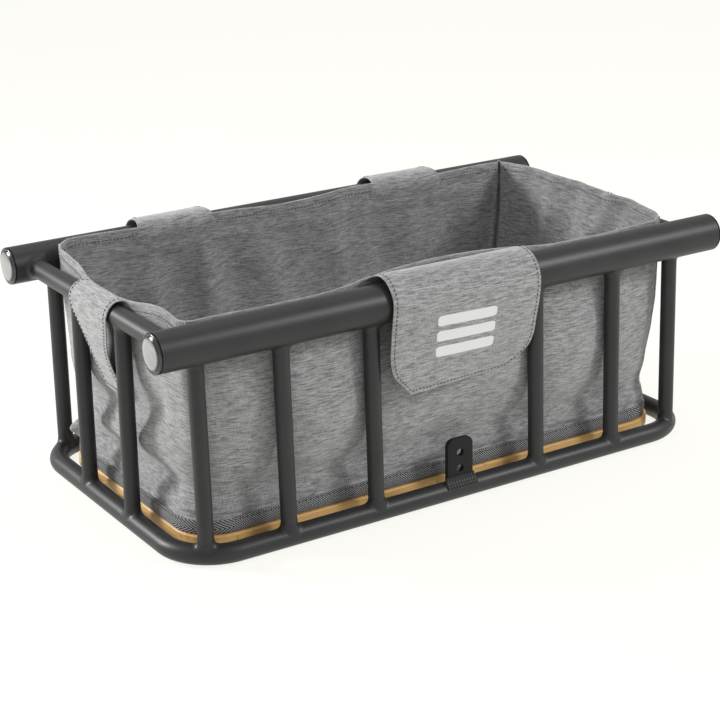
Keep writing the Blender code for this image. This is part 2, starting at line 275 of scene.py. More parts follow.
RAIL_HALF, RAIL_Y, RAIL_Z, RAIL_R = 0.268, 0.1343, 0.1812, 0.0159
RING_X, RING_Y, RING_Z, RING_R, RING_BEND = 0.2498, 0.1384, 0.00825, 0.00825, 0.043
CROSS_X, CROSS_Z, CROSS_R = 0.2485, 0.1791, 0.00825
POST_R, END_POST_Y = 0.0066, 0.0403
POST_XS = (-0.2315, -0.162, -0.0805, 0.0805, 0.162, 0.2315)
CORNER_TOP_Y, CORNER_LOW_Y = 0.1273, 0.1306
ring_path = []
for sx, sy, start in ((1, -1, -90), (1, 1, 0), (-1, 1, 90), (-1, -1, 180)):
    for turn in np.linspace(start, start + 90, 17):
        ring_path.append((sx * (RING_X - RING_BEND) + RING_BEND * math.cos(math.radians(turn)),
                          sy * (RING_Y - RING_BEND) + RING_BEND * math.sin(math.radians(turn)), RING_Z))
tube("bottom_ring", ring_path, RING_R, closed=True, sides=48)
post_ends = {}
for label, sy in (("front", -1), ("rear", 1)):
    rail = [(sx * RAIL_HALF, sy * RAIL_Y, RAIL_Z) for sx in (-1, 1)]
    tube(f"top_rail_{label}", rail, RAIL_R, sides=96)
    for n, x in enumerate(POST_XS):
        top_y, low_y = (CORNER_TOP_Y, CORNER_LOW_Y) if n in (0, 5) else (RAIL_Y, RING_Y)
        post_ends[f"upright_{label}_{n + 1}"] = ((x, sy * top_y, RAIL_Z), (x, sy * low_y, RING_Z))
for label, sx in (("left", -1), ("right", 1)):
    tube(f"cross_tube_{label}", [(sx * CROSS_X, -RAIL_Y, CROSS_Z), (sx * CROSS_X, RAIL_Y, CROSS_Z)], CROSS_R)
    for end, sy in (("front", -1), ("rear", 1)):
        post_ends[f"upright_{label}_{end}"] = ((sx * CROSS_X, sy * END_POST_Y, CROSS_Z),
                                               (sx * RING_X, sy * END_POST_Y, RING_Z))
for node, ends in post_ends.items():
    tube(node, ends, POST_R, sides=48)


# ---------------------------------------------------------------------------------------
# Welds: every upright and cross tube is welded all round where it meets the rail, the ring
# or the cross tube.  The bead runs out onto both tubes and is coated with them.
WELD_ON_RAIL, WELD_ON_CROSS, WELD_ON_RING, WELD_OF_CROSS = 0.0050, 0.0042, 0.0046, 0.0045


def off_rail(p):
    return math.hypot(abs(p.y) - RAIL_Y, p.z - RAIL_Z) - RAIL_R


def off_cross(p):
    return math.hypot(abs(p.x) - CROSS_X, p.z - CROSS_Z) - CROSS_R


def off_ring(p):
    qx, qy = abs(p.x) - (RING_X - RING_BEND), abs(p.y) - (RING_Y - RING_BEND)
    flat = math.hypot(max(qx, 0), max(qy, 0)) + min(max(qx, qy), 0) - RING_BEND
    return math.hypot(flat, p.z - RING_Z) - RING_R


def uphill(distance, p):
    step = 1e-5
    return Vector([(distance(p + d) - distance(p - d)) / (2 * step)
                   for d in (Vector((step, 0, 0)), Vector((0, step, 0)), Vector((0, 0, step)))]).normalized()


def weld(bm, far, near, radius, distance, reach, seed):
    """A fillet round the end `near` of a tube from `far`, on the surface where distance is 0."""
    far, near = Vector(far), Vector(near)
    way = (far - near).normalized()
    side = way.orthogonal().normalized()
    other = way.cross(side)
    loops = []
    for i in range(40):
        angle = 2 * math.pi * i / 40
        out = side * math.cos(angle) + other * math.sin(angle)
        low, high = 0.0, (far - near).length / 2
        for _ in range(30):
            middle = (low + high) / 2
            low, high = (middle, high) if distance(near + out * radius + way * middle) < 0 else (low, middle)
        foot = near + out * radius + way * high
        size = reach * (1 + 0.10 * noise.noise(out * 1.7 + Vector((seed, 0, 0))))
        size += 0.0002 * math.sin(9 * angle)
        top = foot + way * size
        lean = uphill(distance, foot)
        run = out - lean * out.dot(lean)
        toe = foot + (run.normalized() if run.length > 1e-6 else out) * size
        toe -= uphill(distance, toe) * distance(toe)
        bead = [top * (1 - t) ** 2 + foot * 2 * t * (1 - t) + toe * t * t + (out + lean) * 0.00012
                for t in (0, 0.2, 0.4, 0.6, 0.8, 1)]
        top_in, toe_in = top - out * 0.0006, toe - uphill(distance, toe) * 0.0006
        loops.append([top_in, *bead, toe_in, foot - (out + lean) * 0.0012])
    skin(bm, loops, closed=True)


for label in ("front", "rear", "left", "right"):
    beads = bmesh.new()
    for n, (node, (top, low)) in enumerate(post_ends.items()):
        if node.startswith(f"upright_{label}"):
            on_cross = label in ("left", "right")
            above, reach = (off_cross, WELD_ON_CROSS) if on_cross else (off_rail, WELD_ON_RAIL)
            weld(beads, low, top, POST_R, above, reach, n)
            weld(beads, top, low, POST_R, off_ring, WELD_ON_RING, n + 30)
    if label in ("left", "right"):
        x = CROSS_X if label == "right" else -CROSS_X
        for sy in (-1, 1):
            weld(beads, (x, 0, CROSS_Z), (x, sy * RAIL_Y, CROSS_Z), CROSS_R, off_rail, WELD_OF_CROSS, sy + 70)
    solid(f"welds_{label}", beads, powder_coat, "frame")

# ---------------------------------------------------------------------------------------
# Rail plugs: shallow chrome-plated domes pressed into the rails' ends, with a rolled rim.
chrome, place, feed = finish("chrome_plate", Metallic=1.0)
haze = place.stretched(220, 220, 220).noise(3.0)
out_y, out_z = abs(place.axis(1)) - RAIL_Y, place.axis(2) - RAIL_Z
from_axis = (out_y * out_y + out_z * out_z).root()
plate_tone = haze.tint((0.36, 0.36, 0.365), (0.48, 0.48, 0.485))
# The rolled rim's colour is painted near black: painted shade for the dark reflection the rim shows.
feed(Base_Color=from_axis.over(0.0108, 0.0128).tint(plate_tone, (0.075, 0.075, 0.077)),
     Roughness=0.10 + haze * 0.12, Normal=place.stretched(90, 90, 90).noise(1.0).bump(0.0002, 0.35))
# The plug's profile, (radius, height above the rail's end): shank, rolled rim, dome.
PLUG = [(0.0, -0.009), (0.0137, -0.009), (0.0137, 0.0004)]
PLUG += [(0.01545 - 0.00045 * math.cos(a), 0.00095 - 0.00045 * math.sin(a))
         for a in (math.radians(60), math.radians(20))]
PLUG += [(0.0159, 0.0009), (0.01588, 0.0013), (0.0156, 0.0018), (0.0150, 0.0021)]
PLUG += [(0.0143, 0.0021), (0.0139, 0.0019)]
PLUG += [(0.0136 * math.cos(math.radians(a)), 0.0018 + 0.0028 * math.sin(math.radians(a)))
         for a in range(4, 90, 8)]
PLUG += [(0.0, 0.0046)]
for end, sy in (("front", -1), ("rear", 1)):
    for hand, sx in (("left", -1), ("right", 1)):
        bm = bmesh.new()
        turn = Vector((sx, 0, 0)).to_track_quat("Z", "Y")
        base = Vector((sx * RAIL_HALF, sy * RAIL_Y, RAIL_Z))
        rows = [[base + turn @ Vector((r * math.cos(a), r * math.sin(a), h))
                 for a in np.linspace(0, 2 * math.pi, 72, endpoint=False)] for r, h in PLUG[1:-1]]
        made = skin(bm, rows)
        for row, height in ((made[0], PLUG[0][1]), (made[-1], PLUG[-1][1])):
            tip = bm.verts.new(base + turn @ Vector((0, 0, height)))
            for i in range(72):
                bm.faces.new((row[i], row[(i + 1) % 72], tip))
        plug = solid(f"rail_plug_{end}_{hand}", bm, chrome, "frame")
        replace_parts(plug, f"end_cap_{end}_{hand}")

# ---------------------------------------------------------------------------------------
# Lamp bracket: a laser-cut steel tab with two bolt holes, edges broken, stood on the ring
# and welded along its foot.  It has the tubes' coat, with its colour painted darker: painted
# shade for the dark reflection its flat face shows.
tab_coat_painted_shade, place, feed = finish("tab_coat_painted_shade", Specular_IOR_Level=0.15)
peel = place.stretched(1400, 1400, 1400).noise(2.0)
# Painted shade: the same coat as the tubes, made darker.
feed(Base_Color=peel.tint((0.010, 0.010, 0.0105), (0.017, 0.017, 0.0175)),
     Roughness=0.42 + peel * 0.10, Normal=peel.bump(0.00006))
TAB_BACK, TAB_FRONT = -0.1370, -0.1415
plate = bpy.data.curves.new("lamp_tab", "CURVE")
plate.dimensions, plate.fill_mode = "2D", "BOTH"
plate.extrude, plate.bevel_depth, plate.bevel_resolution = 0.0018, 0.00045, 3


def outline_spline(points):
    spline = plate.splines.new("POLY")
    spline.points.add(len(points) - 1)
    for point, (x, y) in zip(spline.points, points):
        point.co = (x, y, 0, 1)
    spline.use_cyclic_u = True


TAB_HALF, TAB_TOP, TAB_LOW, TAB_ROUND = 0.01205, 0.05315, 0.0135, 0.0058
HOLE_R, HOLE_HEIGHTS = 0.00375, (0.0270, 0.0410)
edge = [(TAB_HALF, TAB_LOW)]
edge += [(TAB_HALF - TAB_ROUND + TAB_ROUND * math.cos(math.radians(a)),
          TAB_TOP - TAB_ROUND + TAB_ROUND * math.sin(math.radians(a))) for a in range(0, 91, 9)]
edge += [(-x, y) for x, y in reversed(edge)]
outline_spline(edge)
for height in HOLE_HEIGHTS:
    outline_spline([(HOLE_R * math.cos(a), height + HOLE_R * math.sin(a))
                    for a in np.linspace(2 * math.pi, 0, 40, endpoint=False)])
tab_curve = bpy.data.objects.new("lamp_tab_outline", plate)
bpy.context.collection.objects.link(tab_curve)
tab_drawn = tab_curve.evaluated_get(bpy.context.evaluated_depsgraph_get())
tab_mesh = bpy.data.meshes.new_from_object(tab_drawn)
bpy.data.objects.remove(tab_curve)
upright_turn = Matrix.Rotation(math.radians(90), 4, "X")
tab_mesh.transform(Matrix.Translation((0, (TAB_BACK + TAB_FRONT) / 2, 0)) @ upright_turn)
bm = bmesh.new()
bm.from_mesh(tab_mesh)
bmesh.ops.remove_doubles(bm, verts=bm.verts[:], dist=1e-6)
tab = solid("lamp_tab", bm, tab_coat_painted_shade, "frame", smooth=30)
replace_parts(tab, "light_bracket")
bm = bmesh.new()
BEADS, BEAD_PITCH, BEAD_OUT = 11, 0.0025, RING_R + 0.0002
for n in range(BEADS):
    along = (n - BEADS // 2) * BEAD_PITCH
    rows = []
    for t in np.linspace(0, 1, 9):
        wrap = math.radians(32 + 40 * min(1, 1.5 * t))
        mid = Vector((along * (1.12 - 0.12 * t), -RING_Y - BEAD_OUT * math.cos(wrap),
                      RING_Z + BEAD_OUT * math.sin(wrap) + 0.0050 * max(0, t - 0.6) / 0.4))
        size = 0.0021 * math.sin(math.pi * (0.12 + 0.76 * t)) + 0.0004
        rows.append([mid + Vector((0.92 * size * math.cos(b), -size * math.sin(b), 0))
                     for b in np.linspace(0, 2 * math.pi, 14, endpoint=False)])
    skin(bm, rows, caps=True)
solid("lamp_tab_weld", bm, powder_coat, "frame")

# ---------------------------------------------------------------------------------------
# Deck: laminated bamboo board under clear lacquer.  Strips run lengthwise, with a darker
# ring wherever a culm had a node.  It is screwed to coated flat bars.
bamboo, place, feed = finish("bamboo")
streak = place.stretched(3, 260, 420).noise(3.0)
STRIP_WIDE, STRIP_THICK, KNOT_EVERY = 0.019, 0.0052, 0.19
strip = (place.axis(1) / STRIP_WIDE + place.axis(2) / STRIP_THICK).floor()
strip_tone = strip.lottery()
fibre = place.stretched(14, 1500, 1500).noise(3.0, 0.6)
knot_line = abs((place.axis(0) + strip_tone * KNOT_EVERY) % KNOT_EVERY - KNOT_EVERY / 2) < 0.0011
tone = (strip_tone * 0.40 + fibre * 0.42 + streak * 0.18).over(0.15, 0.85)
wood = tone.tint((0.53, 0.29, 0.085), (0.80, 0.51, 0.195))
feed(Base_Color=(knot_line * 0.45).tint(wood, (0.27, 0.14, 0.04)), Roughness=0.42 + fibre * 0.16,
     Normal=(fibre * 0.7 + streak * 0.3).bump(0.00012, 0.6))
dress(frame["nodes"]["bamboo_deck"], bamboo)

steel, place, feed = finish("screw_steel", Metallic=1.0)
turned_marks = place.stretched(900, 900, 120).noise(3.0)
feed(Base_Color=turned_marks.tint((0.42, 0.42, 0.43), (0.60, 0.60, 0.61)),
     Roughness=0.26 + turned_marks * 0.2, Normal=turned_marks.bump(0.00003))
for n in range(1, 9):
    dress(frame["nodes"][f"deck_screw_{n}"], steel)


# ---------------------------------------------------------------------------------------
# Liner: an open tub sewn from heathered grey polyester with a stiff base, hemmed at the
# top.  It hangs from its flaps, leans on the uprights and narrows just above its base.
PICK_PITCH, END_PITCH = 0.00055, 0.00060
LINER_LONG, LINER_WIDE, LINER_TALL = 0.467, 0.233, 0.182


def heather(name, dark, light):
    """Woven yarn of two greys, on a map in metres with U along the weft."""
    made, place, feed = finish(name, Roughness=0.95, Sheen_Weight=0.25, Sheen_Roughness=0.6)
    cloth = place.node("UVMap", {"uv_map": "cloth"})
    u, v = cloth.axis(0), cloth.axis(1)
    pick, end = (v / PICK_PITCH).floor().lottery(), (u / END_PITCH).floor().lottery()
    weft = cloth.node("CombineXYZ", None, {0: u * 110 + pick * 61, 1: pick * 700}).noise(1.0, 0.4)
    warp = cloth.node("CombineXYZ", None, {0: end * 700, 1: v * 230 + end * 47}).noise(1.0, 0.4)
    patch = cloth.stretched(60, 520, 1).noise(1.0)
    weave = (u * (math.pi / PICK_PITCH)).sine() * (v * (math.pi / PICK_PITCH)).sine()
    share = (weft * 0.62 + warp * 0.25 + patch * 0.13).over(0.29, 0.71)
    relief = weft * 0.5 + warp * 0.3 + weave * 0.12
    feed(Base_Color=share.tint(dark, light), Normal=relief.bump(0.00030, 0.35))
    return made


liner_cloth = heather("liner_cloth", (0.095, 0.095, 0.096), (0.365, 0.365, 0.367))


def spline(x, knots, level=True):
    """A smooth curve through (x, y) knots, level at both ends or free there."""
    xs, ys = np.array(knots, float).T
    slopes = np.gradient(ys, xs)
    if level:
        slopes[0] = slopes[-1] = 0
    x = np.clip(x, xs[0], xs[-1])
    i = np.clip(np.searchsorted(xs, x) - 1, 0, len(xs) - 2)
    h = xs[i + 1] - xs[i]
    t = (x - xs[i]) / h
    return ((1 + 2 * t) * (1 - t) ** 2 * ys[i] + t * (1 - t) ** 2 * h * slopes[i]
            + t * t * (3 - 2 * t) * ys[i + 1] - t * t * (1 - t) * h * slopes[i + 1])


def bell(x, width):
    return np.exp(-(x / width) ** 2)


def ridge(a, z, start, end, width):
    """1 along the line from start to end on a wall, falling off to its sides."""
    (a0, z0), (a1, z1) = start, end
    da, dz = a1 - a0, z1 - z0
    t = np.clip(((a - a0) * da + (z - z0) * dz) / (da * da + dz * dz), 0, 1)
    return np.exp(-((a - a0 - t * da) ** 2 + (z - z0 - t * dz) ** 2) / width ** 2)


def rumple(a, z, scale, seed):
    """Soft unevenness of slack cloth, in millimetres, over a wall."""
    broad = [noise.noise(Vector((p / scale, q / scale, seed))) for p, q in zip(np.ravel(a), np.ravel(z))]
    small = [noise.noise(Vector((2.1 * p / scale, 1.7 * q / scale, seed + 5)))
             for p, q in zip(np.ravel(a), np.ravel(z))]
    return (np.array(broad) + 0.5 * np.array(small)).reshape(np.shape(a))


# The walls' plan at each height: half length, half width and corner radius, in millimetres.
HALF_X = ((14, 234.4), (26, 233.8), (33, 230.5), (50, 225.0), (68, 228), (86, 230.7), (120, 232.5),
          (155, 233.8), (205, 233.5))
HALF_Y = ((14, 117.7), (26, 117.5), (34, 116.6), (50, 115.0), (70, 117), (100, 118.5), (150, 118),
          (185, 117), (205, 116.8))
ROUND = ((14, 35), (50, 29), (100, 21), (150, 15), (205, 12))
# The hem's height along each wall, from one corner to the next.
HEM_FRONT = ((-235, 192), (-214, 192.9), (-150, 192.5), (-90, 194.5), (-72, 197.4), (72, 197.4),
             (90, 195), (150, 193), (235, 195))
HEM_RIGHT = ((-117, 195), (-99, 198.6), (-59, 201.6), (-17, 202.6), (26, 203.0), (72, 202.4), (117, 198.9))
HEM_REAR = ((-235, 200.0), (-205, 201), (-163, 199.8), (-121, 198.6), (-82, 200.5), (-62, 200.2),
            (-16, 197.4), (20, 198.5), (62, 201.5), (82, 201.0), (121, 199.0), (163, 199.5), (217, 200),
            (235, 199))
HEM_LEFT = ((-117, 191.5), (-98, 191.3), (-85, 194.6), (-40, 190.5), (-13, 188.9), (20, 189.3),
            (53, 192.9), (113, 196.2))

# Upright folds of the rear wall (place, lean, size, width) and the right wall (place, size, width).
REAR_FOLDS = ((-196, 4, -1.6, 13), (-172, -2, 1.2, 14), (-141, 6, -2.0, 11), (-112, 8, 1.7, 14),
              (-86, 9, -2.2, 11), (-58, 9, 1.8, 14), (-22, 16, -2.0, 15), (14, 18, 1.4, 18),
              (52, 14, -1.8, 13), (96, 5, 1.6, 16), (128, -4, -1.8, 12), (168, -8, 1.6, 15),
              (198, -6, -1.5, 10))
RIGHT_FOLDS = ((-88, 1.2, 10), (-66, -1.8, 9), (-42, 1.8, 11), (-14, -1.6, 10), (12, 1.2, 13),
               (44, -1.5, 9), (70, 1.4, 10))

columns = []
for kind, count in (("front", 178), ("corner_fr", 26), ("right", 84), ("corner_rr", 40), ("rear", 178),
                    ("corner_rl", 30), ("left", 90), ("corner_fl", 26)):
    for i in range(count):
        columns.append((kind, i / count))
CORNERS = {"corner_fr": (1, -1, -90), "corner_rr": (1, 1, 0),
           "corner_rl": (-1, 1, 90), "corner_fl": (-1, -1, 180)}


def plan(z):
    """Points and outward directions of the walls' plan, for heights z of shape (rows, columns)."""
    hx, hy, r = spline(z, HALF_X), spline(z, HALF_Y), spline(z, ROUND)
    x, y, nx, ny = (np.zeros(z.shape) for _ in range(4))
    for c, (kind, q) in enumerate(columns):
        lx, ly = hx[:, c] - r[:, c], hy[:, c] - r[:, c]
        if kind in CORNERS:
            sx, sy, start = CORNERS[kind]
            a = math.radians(start + 90 * q)
            x[:, c], y[:, c] = sx * lx + r[:, c] * math.cos(a), sy * ly + r[:, c] * math.sin(a)
            nx[:, c], ny[:, c] = math.cos(a), math.sin(a)
        elif kind in ("front", "rear"):
            s = 1 if kind == "front" else -1
            x[:, c], y[:, c], ny[:, c] = s * (2 * q - 1) * lx, -s * hy[:, c], -s
        else:
            s = 1 if kind == "right" else -1
            x[:, c], y[:, c], nx[:, c] = s * hx[:, c], s * (2 * q - 1) * ly, s
    return x, y, nx, ny


def swell(x, y, nx, ny, z):
    """How far the slack cloth stands out from its plan, in millimetres."""
    front, rear = np.clip(-ny, 0, 1) ** 2, np.clip(ny, 0, 1) ** 2
    left, right = np.clip(-nx, 0, 1) ** 2, np.clip(nx, 0, 1) ** 2
    loose = spline(z, ((26, 0), (36, 0.5), (60, 1), (175, 1), (192, 0.25), (205, 0)))

    long_window = spline(np.abs(x), ((0, 1), (175, 1), (222, 0), (240, 0)))
    belly = spline(z, ((26, 0), (34, 0.6), (48, 2.2), (64, 6.5), (90, 9.5), (135, 9.0), (165, 5.5),
                       (186, 1.5), (205, 0)))
    posts = sum(bell(x - p * 1000, 17) for p in POST_XS[1:5])
    beside = sum(bell(x - p * 1000 + 4, 24) for p in POST_XS[1:])
    long_wall = long_window * (belly - 2.4 * posts * belly / 9 + 1.6) - 1.6 * long_window
    d_front = long_wall - 4.5 * beside * bell(z - 47, 13)
    d_front += 5.0 * bell(x - 18, 58) * bell(z - 106, 26) + 2.0 * bell(x - 52, 22) * bell(z - 102, 18)
    d_front += 1.8 * ridge(x, z, (-205, 150), (-178, 60), 12) - 1.6 * ridge(x, z, (-200, 60), (-172, 36), 8)
    d_front += 1.5 * ridge(x, z, (-150, 60), (-100, 100), 12) - 1.3 * ridge(x, z, (-145, 42), (-110, 52), 7)
    d_front += 1.4 * ridge(x, z, (-60, 55), (-20, 70), 12) + 1.6 * ridge(x, z, (100, 50), (140, 120), 13)
    d_front += loose * (1.0 * rumple(x, z, 60, 3.0) + 0.5 * rumple(x, z, 24, 9.0))

    d_rear = 0.55 * long_wall - 2.0 * beside * bell(z - 47, 13)
    fade = loose * spline(z, ((20, 0.2), (90, 0.7), (150, 1), (200, 0.6)))
    for at, lean, size, width in REAR_FOLDS:
        d_rear = d_rear + size * fade * bell(x - at - lean * (120 - z) / 60, width)
    d_rear += loose * (1.3 * rumple(x, z, 70, 14.0) + 0.6 * rumple(x, z, 26, 21.0))

    short_window = spline(np.abs(y), ((0, 1), (72, 1), (104, 0), (120, 0)))
    side = spline(z, ((26, 0), (36, 0.5), (50, 1.0), (64, 4.5), (90, 4.8), (130, 4.6), (160, 4.0),
                      (185, 3.0), (205, 1.0)))
    d_left = short_window * side
    d_left += short_window * (4.6 * ridge(y, z, (66, 56), (-38, 74), 15)
                              - 5.0 * ridge(y, z, (62, 82), (-70, 110), 16)
                              + 3.0 * ridge(y, z, (66, 104), (-15, 134), 17))
    d_left -= 2.2 * bell(y + 60, 26) * bell(z - 50, 11) + 2.2 * bell(y - 36, 24) * bell(z - 46, 11)
    under_strap = spline(y, ((-60, 0), (-32, 1), (38, 1), (70, 0)))
    d_left += 4.6 * under_strap * spline(z, ((150, 0), (178, 0.7), (190, 1), (205, 1)))
    d_left += loose * (0.9 * rumple(y, z, 42, 30.0) + 0.4 * rumple(y, z, 18, 33.0))

    d_right = short_window * side + 6.5 * bell(z - 52, 17) * (1 - 0.3 * short_window)
    d_right += 2.4 * ridge(y, z, (-70, 200), (-30, 150), 9) - 2.2 * ridge(y, z, (-45, 200), (-8, 140), 8)
    d_right += 2.2 * ridge(y, z, (0, 200), (30, 150), 9) - 2.0 * ridge(y, z, (38, 196), (60, 120), 9)
    fade = loose * spline(z, ((20, 0.2), (100, 0.8), (160, 1.2), (205, 0.8)))
    for at, size, width in RIGHT_FOLDS:
        d_right = d_right + size * fade * bell(y - at - 0.12 * (z - 110), width)
    d_right += loose * (0.9 * rumple(y, z, 42, 40.0) + 0.4 * rumple(y, z, 18, 43.0))
    pucker = 1.5 + 1.1 * np.sin(x / 17.0) * np.cos(y / 13.0 + x / 41.0)
    tuck = bell(z - 28.4, 2.0) * pucker - 1.5 * bell(z - 36, 5.5)
    return front * d_front + rear * d_rear + left * d_left + right * d_right - tuck


def seam_groove(z):
    """Corner seams and the deep tuck inside the rear right corner, in millimetres outward."""
    depth = np.zeros(z.shape)
    for c, (kind, q) in enumerate(columns):
        if kind == "corner_rr":
            tall = spline(z[:, c], ((40, 0), (95, 0.8), (150, 1), (192, 1), (205, 0.8)))
            depth[:, c] += 9.0 * bell(q - 0.62, 0.055) * tall
        elif kind in CORNERS:
            depth[:, c] += 1.3 * bell(q - 0.5, 0.022)
    return depth


def hem_height():
    """The hem's height at each column, in millimetres, run together round the corners."""
    walls = {"front": (214, HEM_FRONT), "right": (98, HEM_RIGHT),
             "rear": (-214, HEM_REAR), "left": (-98, HEM_LEFT)}
    known, heights = [], []
    for i, (kind, q) in enumerate(columns):
        if kind in walls:
            half, knots = walls[kind]
            known.append(i)
            heights.append(float(spline(np.array((2 * q - 1) * half), knots)))
    heights = np.interp(np.arange(len(columns)), known + [len(columns)], heights + heights[:1])
    blur = np.array([1, 2, 3, 4, 5, 4, 3, 2, 1]) / 25
    return np.convolve(np.concatenate((heights[-4:], heights, heights[:4])), blur, "valid")


rows_at = np.concatenate((np.linspace(0, 0.20, 23)[:-1], np.linspace(0.20, 0.90, 42)[:-1],
                          np.linspace(0.90, 1.0, 15)))
hem_z = hem_height()
BASE_Z, FLOOR_Z, HEM_SEAM = 15.0, 17.8, 0.965
wall_z = BASE_Z + rows_at[:, None] * (hem_z[None, :] - BASE_Z)
px, py, nx, ny = plan(wall_z)
stand = swell(px, py, nx, ny, wall_z) + seam_groove(wall_z)
# A pinch of slack cloth stands out low down at the rear left corner.
pinched = np.array([bell(q - 0.66, 0.20) if kind == "corner_rl" else 0 for kind, q in columns])
px = px - 15.0 * pinched * bell(wall_z - 40, 8.5)


def clear_of_tubes(x, y, z, gap=0.5):
    """Keeps cloth inside the rails, cross tubes and uprights it leans on, in millimetres."""
    def inner_face(centre, radius, off):
        reach = radius + gap
        return np.where(np.abs(off) < reach, centre - np.sqrt(np.maximum(reach ** 2 - off ** 2, 0)), 1e3)

    down = np.clip((RAIL_Z * 1000 - z) / (RAIL_Z - RING_Z) / 1000, 0, 1)
    limit_y = inner_face(RAIL_Y * 1000, RAIL_R * 1000, z - RAIL_Z * 1000)
    for n, post in enumerate(POST_XS):
        top, low = (CORNER_TOP_Y, CORNER_LOW_Y) if n in (0, 5) else (RAIL_Y, RING_Y)
        centre = 1000 * (top + (low - top) * down)
        limit_y = np.minimum(limit_y, inner_face(centre, POST_R * 1000, x - post * 1000))
    limit_x = inner_face(CROSS_X * 1000, CROSS_R * 1000, z - CROSS_Z * 1000)
    centre = 1000 * (CROSS_X + (RING_X - CROSS_X) * down)
    for sy in (-1, 1):
        limit_x = np.minimum(limit_x, inner_face(centre, POST_R * 1000, y - sy * END_POST_Y * 1000))
    return np.clip(x, -limit_x, limit_x), np.clip(y, -limit_y, limit_y)


outer = np.stack((*clear_of_tubes(px + nx * stand, py + ny * stand, wall_z), wall_z), -1) / 1000
hem_fold = np.clip((rows_at - 0.945) / 0.008, 0, 1)[:, None] * 0.5
groove = bell(rows_at - HEM_SEAM, 0.004)[:, None] * 0.35
outer[..., 0] += nx * (hem_fold - groove) / 1000
outer[..., 1] += ny * (hem_fold - groove) / 1000
thick = (1.5 + 2 * hem_fold - 2 * groove) / 1000
inner = outer.copy()
inner[..., 0] -= nx * thick
inner[..., 1] -= ny * thick
inner[0, :, 2] = FLOOR_Z / 1000


def run_lengths(points):
    """Distance along a closed row of points, with one value more than there are points."""
    steps = np.linalg.norm(np.roll(points, -1, 0) - points, axis=1)
    return np.concatenate(([0], np.cumsum(steps)))


around = run_lengths(outer[len(rows_at) // 2])


def map_cloth(bm, faces, corners):
    layer = bm.loops.layers.uv.get("cloth") or bm.loops.layers.uv.new("cloth")
    for face, uvs in zip(faces, corners):
        for loop, uv in zip(face.loops, uvs):
            loop[layer].uv = uv


def wall_skin(bm, grid, heights, shift=(0, 0)):
    """A tube of quads from a grid of rows and columns, with its map in metres."""
    verts = [[bm.verts.new(p) for p in row] for row in grid]
    faces, corners = [], []
    count = len(verts[0])
    us, vs = around + shift[0], np.array(heights) + shift[1]
    for r in range(len(verts) - 1):
        for c in range(count):
            d = (c + 1) % count
            faces.append(bm.faces.new((verts[r][c], verts[r][d], verts[r + 1][d], verts[r + 1][c])))
            corners.append(((us[c], vs[r]), (us[c + 1], vs[r]), (us[c + 1], vs[r + 1]), (us[c], vs[r + 1])))
    map_cloth(bm, faces, corners)
    return verts


def join_rows(bm, a, b):
    faces = [bm.faces.new((a[i], a[(i + 1) % len(a)], b[(i + 1) % len(a)], b[i])) for i in range(len(a))]
    map_cloth(bm, faces, [[(v.co.x + 3, v.co.y + v.co.z) for v in f.verts] for f in faces])


def panel(bm, row, z, dip):
    """Closes a ring of points with rings that shrink to its middle."""
    last, steps = row, 10
    start = [v.co.copy() for v in row]
    for k in range(1, steps):
        t = 1 - k / steps
        ring = []
        for p in start:
            q = Vector((p.x * t, p.y * t, z))
            q.z += dip * noise.noise(Vector((q.x * 14, q.y * 14, 2.0)))
            ring.append(bm.verts.new(q))
        join_rows(bm, last, ring)
        last = ring
    middle = bm.verts.new((0, 0, z))
    faces = [bm.faces.new((last[i], last[(i + 1) % len(last)], middle)) for i in range(len(last))]
    map_cloth(bm, faces, [[(v.co.x + 3, v.co.y) for v in f.verts] for f in faces])


heights = rows_at * LINER_TALL
bm = bmesh.new()
outside = wall_skin(bm, outer, heights)
inside = wall_skin(bm, inner, heights, (2.0, 0.4))
edge_rows = [outer[-1] * (1 - t) + inner[-1] * t + np.array([0, 0, 0.0007 * math.sin(math.pi * t)])
             for t in (0.33, 0.67)]
lip = [[bm.verts.new(p) for p in row] for row in edge_rows]
for a, b in ((outside[-1], lip[0]), (lip[0], lip[1]), (lip[1], inside[-1])):
    join_rows(bm, a, b)
panel(bm, outside[0], BASE_Z / 1000, 0.0)
panel(bm, inside[0], FLOOR_Z / 1000, 0.0004)
liner = solid("liner", bm, liner_cloth, "liner", smooth=75)
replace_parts(liner, "liner_tub")

# ---------------------------------------------------------------------------------------
# Stitches: lock-stitched dark thread, 3.6 millimetres to a stitch.
thread, place, feed = finish("sewing_thread", Roughness=0.8)
twist = place.stretched(2500, 2500, 2500).noise(2.0)
feed(Base_Color=twist.tint((0.025, 0.025, 0.026), (0.075, 0.075, 0.076)), Normal=twist.bump(0.0001))


def stitches(bm, points, normals, pitch=0.0036, share=0.70, radius=0.00038):
    """Stitches along a line of points, each a short bead lying on the surface."""
    points, normals = np.array(points), np.array(normals)
    steps = np.concatenate(([0], np.cumsum(np.linalg.norm(np.diff(points, axis=0), axis=1))))
    for n in range(int(steps[-1] / pitch)):
        spots = [np.array([np.interp(n * pitch + t * pitch * share, steps, points[:, k]) for k in range(3)])
                 for t in (0, 0.25, 0.75, 1)]
        out = Vector([np.interp(n * pitch, steps, normals[:, k]) for k in range(3)]).normalized()
        along = Vector(spots[-1] - spots[0]).normalized()
        across = along.cross(out).normalized()
        rows = [[Vector(p) + out * (k * 0.6 + s * size) * radius + across * (c * size * radius)
                 for c, s in ((1, 0), (0.5, 0.87), (-0.5, 0.87), (-1, 0), (-0.5, -0.87), (0.5, -0.87))]
                for p, size, k in zip(spots, (0.35, 1, 1, 0.35), (-1.2, 1, 1, -1.2))]
        skin(bm, rows, caps=True)


def looped(row):
    """A closed row of points with its first point again at its end."""
    return np.concatenate((row, row[:1]))


